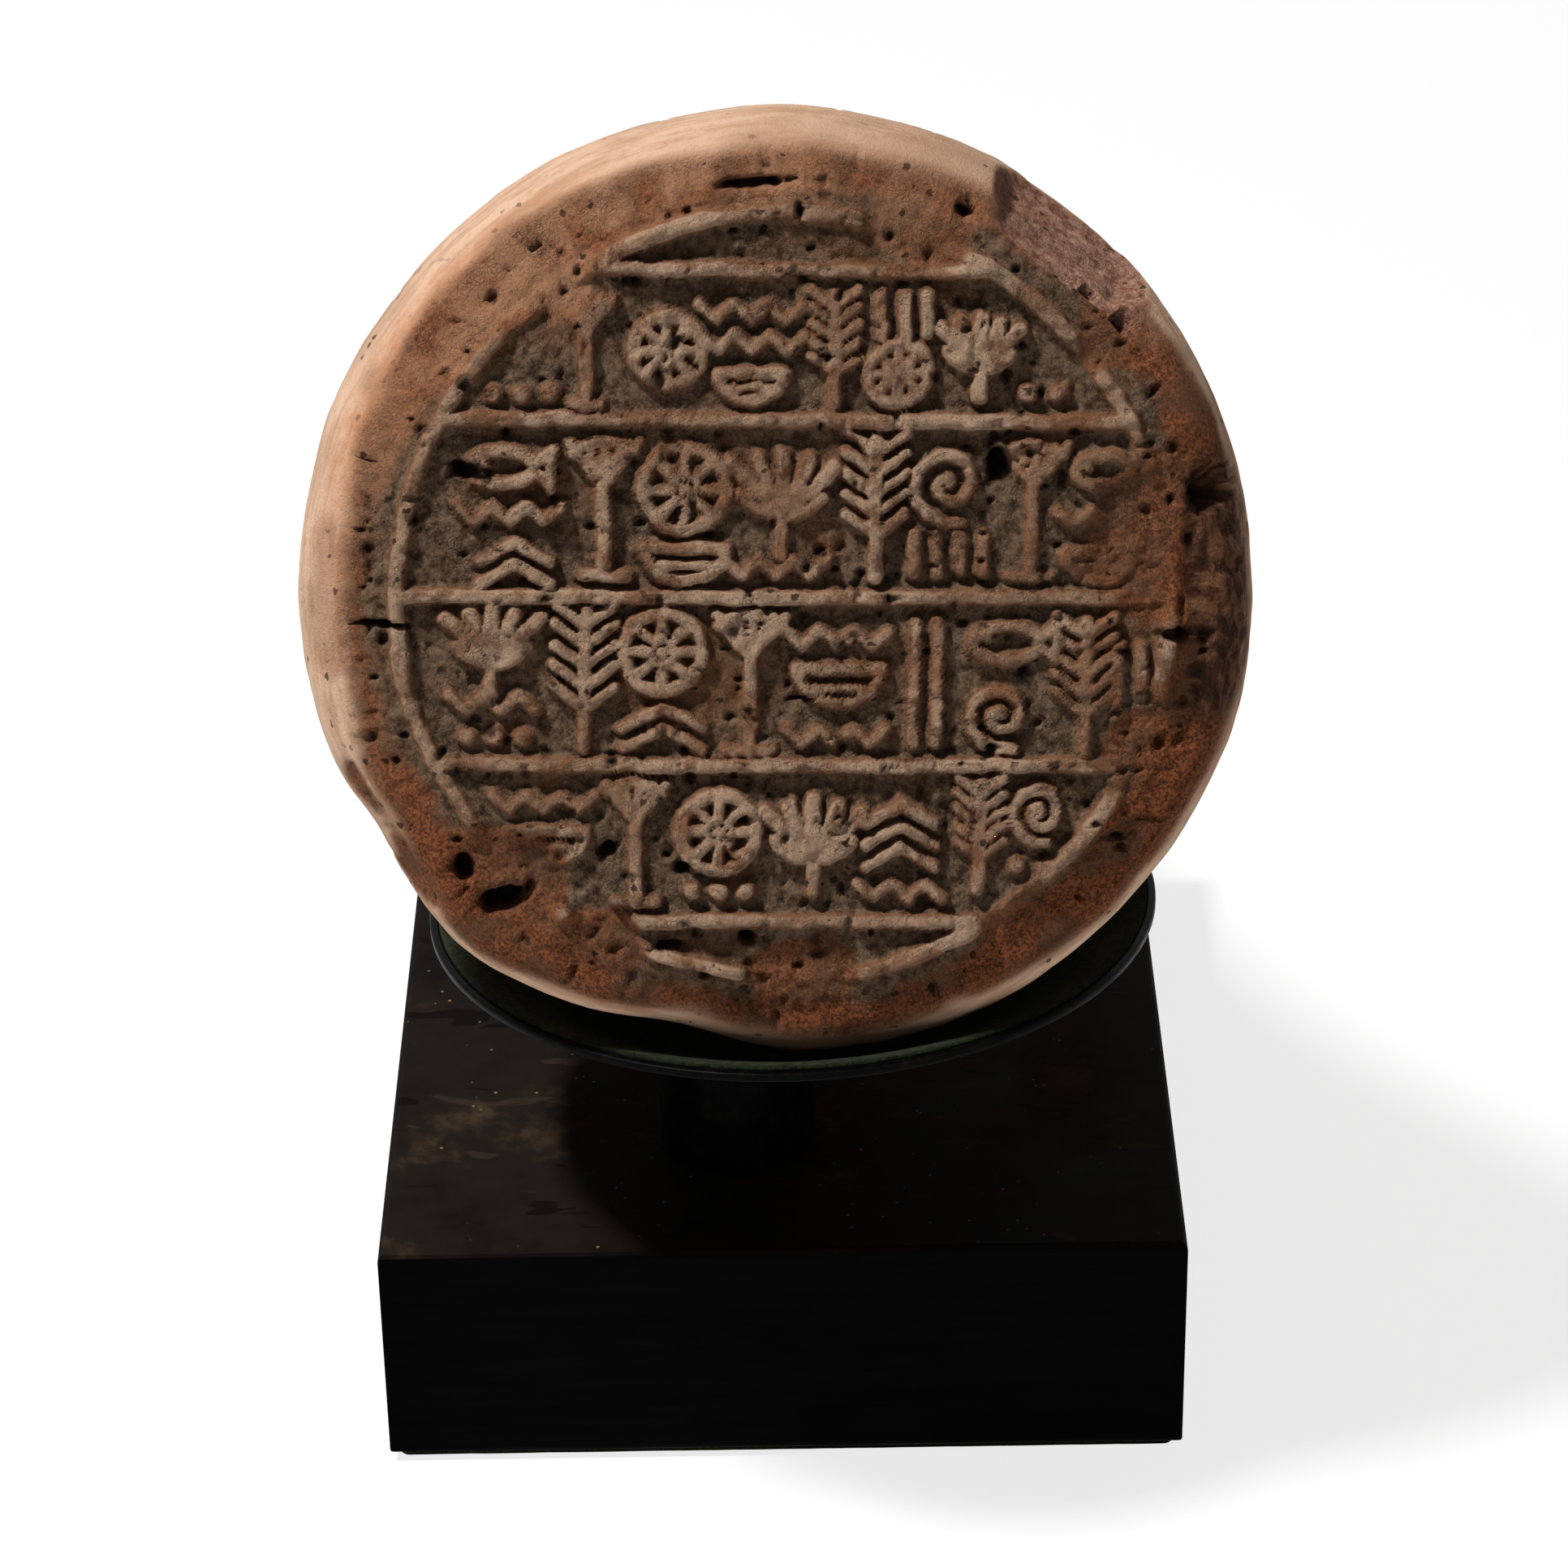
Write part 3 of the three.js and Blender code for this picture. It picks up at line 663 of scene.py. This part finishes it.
# Low-fired Nile clay: matt and granular, grey-brown in the sunk ground, orange where the surface broke,
# with a thin pale slip on the side. Crack cells, grains and pits are patterns at their real sizes.
def firedClay():
    material, tree, output = newMaterial("firedClay")
    coordinates = (addNode(tree, "ShaderNodeTexCoord"), "Object")
    look = clayLook

    def channel(name, part="Fac"):
        return addNode(tree, "ShaderNodeAttribute", {"attribute_name": name}), part

    def times(first, second):
        return addNode(tree, "ShaderNodeMath", {"operation": "MULTIPLY"}, None, {0: first, 1: second}), 0

    def cells(feature, sizeMm, place):
        return addNode(tree, "ShaderNodeTexVoronoi", {"feature": feature}, {"Scale": 1 / (sizeMm * mm)},
                       {"Vector": place}), "Distance"

    bent = warped(tree, coordinates, 0.7, 0.5)
    clouds = noise(tree, coordinates, 9, 5)
    speckle = noise(tree, coordinates, 1.0, 6, 0.78)
    grains = noise(tree, coordinates, look["grain"], 3, 0.7)
    grit = noise(tree, coordinates, look["grit"], 2, 0.7)
    streaks = noise(tree, channel("alongSkin", "Vector"), 1.8, 7, 0.74, (0.24, 1, 1))
    fibres = noise(tree, channel("alongSkin", "Vector"), 1.0, 4, 0.65, (0.5, 1, 0.22))
    smooth = channel("slip")
    openness = stepped(tree, noise(tree, coordinates, 4, 3), 0.45, 0.65, 0.08, 0.55)
    cracks = stepped(tree, cells("DISTANCE_TO_EDGE", look["crackCell"], bent), 0.0, 0.14, 1, 0)
    cracks = times(times(cracks, openness), stepped(tree, smooth, 0, 1, 1, 0.1))
    pitPlaces = stepped(tree, noise(tree, coordinates, 6, 2), 0.4, 0.6, 0.3, 1)
    pits = stepped(tree, cells("F1", look["pitSpacing"], bent), 0.1, 0.17, 1, 0)
    pits = times(pits, pitPlaces)

    colour = mixColours(tree, stepped(tree, speckle, 0.36, 0.6), look["groundDark"], look["ground"])
    colour = mixColours(tree, stepped(tree, clouds, 0.52, 0.68, 0, 0.5), colour, look["groundWarm"])
    edgeTone = mixColours(tree, stepped(tree, grains, 0.38, 0.6), look["edgeDark"], look["edge"])
    greyed = stepped(tree, noise(tree, coordinates, 5, 5), 0.48, 0.62, 0, 0.7)
    edgeTone = mixColours(tree, greyed, edgeTone, look["edgeGrey"])
    # Painted highlight: the broken edge is drawn lighter on its upper left, where the lamp falls
    litShare = times(channel("lit"),
                     stepped(tree, noise(tree, coordinates, 6, 6, 0.65), 0.4, 0.6, 0.25, 0.95))
    edgeTone = mixColours(tree, litShare, edgeTone, look["edgeLit"])
    colour = mixColours(tree, stepped(tree, channel("spalled"), 0.2, 0.9, 0, 0.7), colour, edgeTone)
    slipTone = mixColours(tree, stepped(tree, streaks, 0.42, 0.64), look["slip"], look["slipStreak"])
    slipTone = mixColours(tree, stepped(tree, speckle, 0.52, 0.7, 0, 0.6), slipTone, look["slipStreak"])
    fired = stepped(tree, noise(tree, coordinates, look["slipFiredSize"], 6, 0.6), 0.46, 0.66, 0, 0.75)
    slipTone = mixColours(tree, fired, slipTone, look["slipFired"])
    blush = times(channel("blush"), stepped(tree, speckle, 0.35, 0.6, 0.3, 0.95))
    slipTone = mixColours(tree, blush, slipTone, look["slipWarm"])
    colour = mixColours(tree, smooth, colour, slipTone)
    broken = times(channel("brokenEdge"), stepped(tree, speckle, 0.3, 0.5, 0.55, 1))
    colour = mixColours(tree, broken, colour, edgeTone)
    relief = channel("relief")
    sides = times(stepped(tree, relief, 0.12, 0.4, 0, 0.6), stepped(tree, speckle, 0.34, 0.56, 0.3, 1))
    colour = mixColours(tree, sides, colour, look["ridgeSide"])
    rusty = stepped(tree, noise(tree, coordinates, 4.5, 5, 0.65), 0.5, 0.6, 1, 0.25)
    tops = times(stepped(tree, relief, 0.4, 0.8, 0, 0.9), stepped(tree, grains, 0.32, 0.48, 0.45, 1))
    colour = mixColours(tree, times(tops, rusty), colour, look["ridge"])
    chipTone = mixColours(tree, stepped(tree, speckle, 0.38, 0.6), look["chipDark"], look["chip"])
    colour = mixColours(tree, channel("chip"), colour, chipTone)
    gougeTone = mixColours(tree, stepped(tree, fibres, 0.42, 0.6), look["gougeDark"], look["gouge"])
    colour = mixColours(tree, stepped(tree, channel("gouged"), 0.2, 0.8, 0, 0.85), colour, gougeTone)
    # Painted shade: cracks and pits are darkened where shade falls in them
    colour = mixColours(tree, stepped(tree, cracks, 0, 1, 0, 0.55), colour, look["crackShade"])
    colour = mixColours(tree, stepped(tree, pits, 0, 1, 0, 0.8), colour, look["crackShade"])
    # Painted shade: holes, pocks and pits are darkened near black, as shade falls in them
    colour = mixColours(tree, stepped(tree, channel("cavityShade"), 0.3, 0.95, 0, 0.92), colour, look["cavityShade"])

    strength = stepped(tree, smooth, 0, 1, 1.0, 0.3)
    layers = [(grit, 0.22, False), (grains, 0.45, False), (speckle, 1.1, False), (cracks, 0.25, True),
              (pits, 0.5, True)]
    normal = None
    for height, depth, sunk in layers:
        links = {"Height": height, "Strength": strength}
        if normal:
            links["Normal"] = normal
        normal = addNode(tree, "ShaderNodeBump", {"invert": sunk}, {"Distance": depth * mm}, links), 0
    torn = addNode(tree, "ShaderNodeBump", None, {"Distance": 0.9 * mm},
                   {"Height": fibres, "Strength": channel("gouged"), "Normal": normal})
    shader = addNode(tree, "ShaderNodeBsdfPrincipled", None, {"Roughness": 0.92, "Specular IOR Level": 0.15},
                     {"Base Color": colour, "Normal": (torn, 0)})
    tree.links.new(shader.outputs[0], output.inputs[0])
    return material


# The dish, its lining, the post, the plinth and the screws

# Satin black lacquer on the spun dish and the turned post: smooth, with fine dust and rubbed patches.
def blackLacquer():
    material, tree, output = newMaterial("blackLacquer")
    coordinates = (addNode(tree, "ShaderNodeTexCoord"), "Object")
    dust = stepped(tree, noise(tree, coordinates, 2.5, 6, 0.7), 0.5, 0.75)
    colour = mixColours(tree, dust, "#030303", "#141210")
    rough = stepped(tree, noise(tree, coordinates, 6, 4), 0.3, 0.7, 0.28, 0.5)
    fine = noise(tree, coordinates, 0.6, 2)
    bump = addNode(tree, "ShaderNodeBump", None, {"Strength": 0.12, "Distance": 0.1 * mm}, {"Height": fine})
    shader = addNode(tree, "ShaderNodeBsdfPrincipled", None, {"Specular IOR Level": 0.03},
                     {"Base Color": colour, "Roughness": rough, "Normal": (bump, 0)})
    tree.links.new(shader.outputs[0], output.inputs[0])
    return material


# Ebonised hardwood, rubbed matt: near black, with brown dust, fine scratches and pale specks on its top.
def ebonisedWood():
    material, tree, output = newMaterial("ebonisedWood")
    coordinates = (addNode(tree, "ShaderNodeTexCoord"), "Object")
    facing = addNode(tree, "ShaderNodeSeparateXYZ", None, None,
                     {0: (addNode(tree, "ShaderNodeNewGeometry"), "Normal")})
    onTop = stepped(tree, (facing, "Z"), 0.5, 0.95)

    def topOnly(value):
        return addNode(tree, "ShaderNodeMath", {"operation": "MULTIPLY"}, None, {0: value, 1: onTop}), 0

    bent = warped(tree, coordinates, 16, 5)
    grain = noise(tree, coordinates, 1.2, 5, 0.65, (0.08, 1, 1))
    dust = noise(tree, coordinates, 16, 7, 0.66)
    scratch = noise(tree, bent, 2.2, 2, 0.4, (0.1, 0.9, 1))
    colour = mixColours(tree, stepped(tree, grain, 0.3, 0.7), "#020202", "#060505")
    colour = mixColours(tree, topOnly(stepped(tree, dust, 0.3, 0.6, 0.15, 0.8)), colour, "#1e1915")
    colour = mixColours(tree, topOnly(stepped(tree, dust, 0.56, 0.74, 0, 0.8)), colour, "#4a3a2b")
    colour = mixColours(tree, topOnly(stepped(tree, scratch, 0.66, 0.69, 0, 0.7)), colour, "#030202")
    colour = mixColours(tree, topOnly(stepped(tree, scratch, 0.3, 0.335, 0.35, 0)), colour, "#3a3027")
    specks = addNode(tree, "ShaderNodeTexVoronoi", None, {"Scale": 1 / (1.7 * mm)}, {"Vector": coordinates})
    few = stepped(tree, noise(tree, coordinates, 7, 3), 0.5, 0.62)
    speck = addNode(tree, "ShaderNodeMath", {"operation": "MULTIPLY"}, None,
                    {0: stepped(tree, (specks, "Distance"), 0.06, 0.12, 0.75, 0), 1: few})
    colour = mixColours(tree, topOnly((speck, 0)), colour, "#96714f")
    rough = stepped(tree, dust, 0.3, 0.7, 0.5, 0.75)
    bump = addNode(tree, "ShaderNodeBump", None, {"Strength": 0.15, "Distance": 0.15 * mm}, {"Height": grain})
    shader = addNode(tree, "ShaderNodeBsdfPrincipled", None, {"Specular IOR Level": 0.015},
                     {"Base Color": colour, "Roughness": rough, "Normal": (bump, 0)})
    tree.links.new(shader.outputs[0], output.inputs[0])
    return material


# Moss-green wool felt: matt, of matted fibres. They are too fine to show, so their pattern is drawn 0.7 mm
# coarse.
def woolFelt():
    material, tree, output = newMaterial("woolFelt")
    coordinates = (addNode(tree, "ShaderNodeTexCoord"), "Object")
    fibre = noise(tree, warped(tree, coordinates, 1.2, 0.8), 0.7, 6, 0.8)
    colour = mixColours(tree, stepped(tree, fibre, 0.35, 0.68), "#070b04", "#2c3618")
    bump = addNode(tree, "ShaderNodeBump", None, {"Strength": 1.0, "Distance": 0.6 * mm}, {"Height": fibre})
    inputs = {"Roughness": 0.97, "Sheen Weight": 0.05, "Specular IOR Level": 0.02}
    shader = addNode(tree, "ShaderNodeBsdfPrincipled", None, inputs,
                     {"Base Color": colour, "Normal": (bump, 0)})
    tree.links.new(shader.outputs[0], output.inputs[0])
    return material


# Zinc-plated steel screws: grey metal with a faint mottled sheen.
def zincSteel():
    material, tree, output = newMaterial("zincSteel")
    coordinates = (addNode(tree, "ShaderNodeTexCoord"), "Object")
    mottle = noise(tree, coordinates, 1.5, 4)
    colour = mixColours(tree, stepped(tree, mottle, 0.35, 0.65), "#8a8c8e", "#b4b6b8")
    rough = stepped(tree, mottle, 0.3, 0.7, 0.25, 0.45)
    shader = addNode(tree, "ShaderNodeBsdfPrincipled", None, {"Metallic": 1.0},
                     {"Base Color": colour, "Roughness": rough})
    tree.links.new(shader.outputs[0], output.inputs[0])
    return material


dish = {
    "centre": (1.4, -30.0), "radius": 34.2, "leanBack": 4.3, "leanLeft": 1.2,   # mm and degrees
    "rimDepth": 0.8, "wall": 0.8, "floorThickness": 1.8, "floorRadius": 14.0, "sideAngle": 27.5,
    "plinthTop": 24.2, "postHeight": 15.5,
    "edgeRound": 0.22, "innerRound": 0.15, "flare": 1.6, "flareRise": 0.83,
    "feltThickness": 0.8, "feltLift": 0.06, "feltMargin": 0.85, "feltEdgeDrop": 0.35, "feltWobble": 0.1,
}


def dishDepth():
    side = dish["radius"] - dish["floorRadius"]
    return dish["rimDepth"] + side * math.tan(math.radians(dish["sideAngle"]))


# Height over the rim plane of the dish's inside, raised square to it by lift.
def insideHeight(reach, lift):
    angle = math.radians(dish["sideAngle"])
    slope = -dish["rimDepth"] - (dish["radius"] - reach) * math.tan(angle)
    slope = slope + (dish["wall"] + lift) / math.cos(angle)
    return np.maximum(slope, -dishDepth() + dish["floorThickness"] + lift)


# Points in the dish's own frame put in place: leant back about X and left about Y.
def leaned(points):
    back, left = math.radians(-dish["leanBack"]), math.radians(-dish["leanLeft"])
    aboutX = np.array([[1, 0, 0], [0, math.cos(back), -math.sin(back)], [0, math.sin(back), math.cos(back)]])
    aboutY = np.array([[math.cos(left), 0, math.sin(left)], [0, 1, 0], [-math.sin(left), 0, math.cos(left)]])
    rim = dish["plinthTop"] + dish["postHeight"] + dishDepth()
    return points @ (aboutX @ aboutY).T + np.array([*dish["centre"], rim])


# An outline of (radius, height) carried once round the dish's leaning axis; its two ends lie on the axis.
def turnedPiece(name, outline, material, steps=180):
    radius, height = np.array(outline, float).T
    angle = np.arange(steps) * 2 * np.pi / steps
    x = radius[:, None] * np.cos(angle)
    y = radius[:, None] * np.sin(angle)
    z = np.repeat(height[:, None], steps, 1)
    points = np.stack([x, y, z], -1)[1:-1].reshape(-1, 3)
    rows = len(radius) - 2
    index = np.arange(rows * steps).reshape(rows, steps)
    following = np.roll(index, -1, 1)
    quads = np.stack([index[:-1], following[:-1], following[1:], index[1:]], -1).reshape(-1, 4).tolist()
    low, high = len(points), len(points) + 1
    points = np.concatenate([points, [[0, 0, height[0]], [0, 0, height[-1]]]])
    quads += np.stack([following[0], index[0], np.full(steps, low)], -1).tolist()
    quads += np.stack([index[-1], following[-1], np.full(steps, high)], -1).tolist()
    return meshPiece(name, leaned(points) * mm, quads, material)


# Points of a small arc that rounds an outline's corner, from one angle to another in degrees.
def roundedCorner(corner, size, start, end, steps=4):
    angles = np.radians(np.linspace(start, end, steps))
    return [(corner[0] + size * math.cos(t), corner[1] + size * math.sin(t)) for t in angles]


# The spun dish: flat floor, a bend where it flares, and a straight side up to a rounded rim.
def makeDish(lacquer):
    outer, depth, inner = dish["radius"], dishDepth(), dish["radius"] - dish["wall"]
    edge, innerRound, flare = dish["edgeRound"], dish["innerRound"], dish["flare"]
    bend = [(dish["floorRadius"] + flare * (2 * t - 1), -depth + dish["flareRise"] * t ** 2)
            for t in np.linspace(0, 1, 8)]
    inside = [*np.linspace(inner - 0.3, 12, 24), 4, 0]
    outline = [(0, -depth), (6, -depth), *bend, (outer - 0.1, -dish["rimDepth"]),
               (outer, -dish["rimDepth"] + 0.12), *roundedCorner((outer - edge, -edge), edge, 0, 90),
               *roundedCorner((inner + innerRound, -innerRound), innerRound, 90, 180),
               *[(r, float(insideHeight(r, 0))) for r in inside]]
    piece = turnedPiece("dish_shell", outline, lacquer)
    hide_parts("dish")
    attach(piece, "stand")
    print("dish made")


# The felt disc pressed into the dish, its cut edge soft and a little uneven, level with the rim.
def makeLining(felt):
    edge = dish["radius"] - dish["feltMargin"]
    low, high = dish["feltLift"], dish["feltLift"] + dish["feltThickness"]
    across = np.linspace(1.2, edge, 60)
    soft = 1.4
    under = [(r, float(insideHeight(r, low))) for r in across]
    top = [(r, float(insideHeight(r, high)) - dish["feltEdgeDrop"] * max(0, (r - edge + soft) / soft) ** 2)
           for r in across[::-1]]
    outline = [(0, float(insideHeight(0, low))), *under, (edge + 0.05, under[-1][1] + 0.3), *top,
               (0, float(insideHeight(0, high)))]
    piece = turnedPiece("felt_lining", outline, felt, 240)
    places = np.zeros(len(piece.data.vertices) * 3)
    piece.data.vertices.foreach_get("co", places)
    places = places.reshape(-1, 3)
    wobble = dish["feltWobble"] * mm * layeredNoise(places / mm, 2.5, 61, 2)
    places[:, 2] += np.clip(wobble, 0, None)
    piece.data.vertices.foreach_set("co", places.ravel())
    piece.data.update()
    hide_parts("dish_lining")
    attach(piece, "stand")
    print("lining made")


baseFelt = {"halfWidth": 37.2, "halfDepth": 49.2, "thickness": 0.8, "corner": 0.9, "unevenness": 0.12}   # mm


# Points and outward directions round a rectangle with round corners.
def roundedRectangle(halfWidth, halfDepth, corner, along=48, around=6):
    places, outs = [], []
    signs = ((1, -1), (1, 1), (-1, 1), (-1, -1))
    for k, (sideX, sideY) in enumerate(signs):
        angles = np.radians(np.linspace(90 * k - 90, 90 * k, around))
        out = np.stack([np.cos(angles), np.sin(angles)], -1)
        arc = np.array([sideX * (halfWidth - corner), sideY * (halfDepth - corner)]) + corner * out
        nextX, nextY = signs[(k + 1) % 4]
        start = np.array([nextX * (halfWidth - corner), nextY * (halfDepth - corner)]) + corner * out[-1]
        share = np.linspace(0, 1, along + 2)[1:-1, None]
        places += [arc, arc[-1] + (start - arc[-1]) * share]
        outs += [out, np.tile(out[-1], (along, 1))]
    return np.concatenate(places), np.concatenate(outs)


# The felt sheet under the plinth: its outline, drawn in where the cut edge rounds over, closed to its middle.
def makeBaseFelt(felt):
    places, outs = roundedRectangle(baseFelt["halfWidth"], baseFelt["halfDepth"], baseFelt["corner"])
    thick = baseFelt["thickness"]
    level = np.column_stack([places, places[:, 0] * 0])
    uneven = baseFelt["unevenness"] * np.abs(layeredNoise(level, 3, 71, 3))
    rings = [(2.0, 0), (0.2, 0), (0, 0.25 * thick), (0, 0.75 * thick), (0.2, thick), (2.0, thick)]
    points = [np.column_stack([places - outs * (inset + uneven)[:, None], np.full(len(places), height)])
              for inset, height in rings]
    count = len(places)
    index = np.arange(count * len(rings)).reshape(len(rings), count)
    following = np.roll(index, -1, 1)
    faces = np.stack([index[:-1], following[:-1], following[1:], index[1:]], -1).reshape(-1, 4).tolist()
    low = count * len(rings)
    faces += np.stack([following[0], index[0], np.full(count, low)], -1).tolist()
    faces += np.stack([index[-1], following[-1], np.full(count, low + 1)], -1).tolist()
    points = np.concatenate([*points, [[0, 0, 0], [0, 0, thick]]]) * mm
    piece = meshPiece("felt_base", points, faces, felt, False)
    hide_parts("base_felt")
    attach(piece, "stand")
    print("base felt made")


def dressNodes(lacquer):
    looks = {"plinth": ebonisedWood(), "dish_screw": zincSteel(), "post": lacquer}
    looks["post_screw"] = looks["post_washer"] = looks["dish_screw"]
    for name, material in looks.items():
        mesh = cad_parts[name].data
        mesh.materials.clear()
        mesh.materials.append(material)
    print("nodes dressed:", len(looks))


# Floor, lights and background

stage = {
    "floorPaint": "#f2f2f2", "floorReach": 6.0,   # m
    "floorGlow": 0.8,   # share of plain white where the floor is seen directly, the rest shows the shadow
    "roomLight": 0.11,
    "lampPlace": (-0.50, -0.14, 1.20), "lampAim": (0, -0.03, 0.08),   # m
    "lampSize": 0.14, "lampPower": 22.0,   # m, W
}


# 1 for rays that see the background: straight, mirrored or through glass.
def seenDirectly(tree):
    path = addNode(tree, "ShaderNodeLightPath")
    mirrored = addNode(tree, "ShaderNodeMath", {"operation": "MAXIMUM"}, None,
                       {0: (path, "Is Camera Ray"), 1: (path, "Is Glossy Ray")})
    return addNode(tree, "ShaderNodeMath", {"operation": "MAXIMUM"}, None,
                   {0: (mirrored, 0), 1: (path, "Is Transmission Ray")}), 0


def makeStage():
    material, tree, output = newMaterial("paleFloor")
    paint = addNode(tree, "ShaderNodeBsdfDiffuse", None, {"Color": linearColour(stage["floorPaint"])})
    glow = addNode(tree, "ShaderNodeEmission", None, {"Color": linearColour("#ffffff"), "Strength": 1.0})
    share = stepped(tree, seenDirectly(tree), 0, 1, 0, stage["floorGlow"])
    blend = addNode(tree, "ShaderNodeMixShader", None, None, {0: share, 1: (paint, 0), 2: (glow, 0)})
    tree.links.new(blend.outputs[0], output.inputs[0])
    corner = stage["floorReach"]
    points = np.array([[-corner, -corner, 0], [corner, -corner, 0], [corner, corner, 0],
                       [-corner, corner, 0]])
    meshPiece("floor", points, [[0, 1, 2, 3]], material, False)

    world = bpy.data.worlds.new("softRoom")
    bpy.context.scene.world = world
    world.use_nodes = True
    tree = world.node_tree
    tree.nodes.clear()
    strength = stepped(tree, seenDirectly(tree), 0, 1, stage["roomLight"], 1.0)
    back = addNode(tree, "ShaderNodeBackground", None, {"Color": linearColour("#ffffff")},
                   {"Strength": strength})
    out = addNode(tree, "ShaderNodeOutputWorld")
    tree.links.new(back.outputs[0], out.inputs[0])
    addLamp("keyLamp", stage["lampPlace"], stage["lampSize"], stage["lampPower"])
    print("stage set")


# A square area lamp that looks at the cone's face.
def addLamp(name, place, size, power):
    data = bpy.data.lights.new(name, "AREA")
    data.size = size
    data.energy = power
    lamp = bpy.data.objects.new(name, data)
    bpy.context.scene.collection.objects.link(lamp)
    away = np.array(place) - np.array(stage["lampAim"])
    away = away / np.linalg.norm(away)
    right = np.cross([0, 0, 1], away)
    right = right / np.linalg.norm(right)
    matrix = np.eye(4)
    matrix[:3, :3] = np.column_stack([right, np.cross(away, right), away])
    matrix[:3, 3] = place
    lamp.matrix_world = Matrix(matrix.tolist())


makeCamera()
makeCone(firedClay())
lacquer, felt = blackLacquer(), woolFelt()
makeDish(lacquer)
makeLining(felt)
makeBaseFelt(felt)
dressNodes(lacquer)
makeStage()
bpy.context.scene.view_settings.view_transform = "Standard"
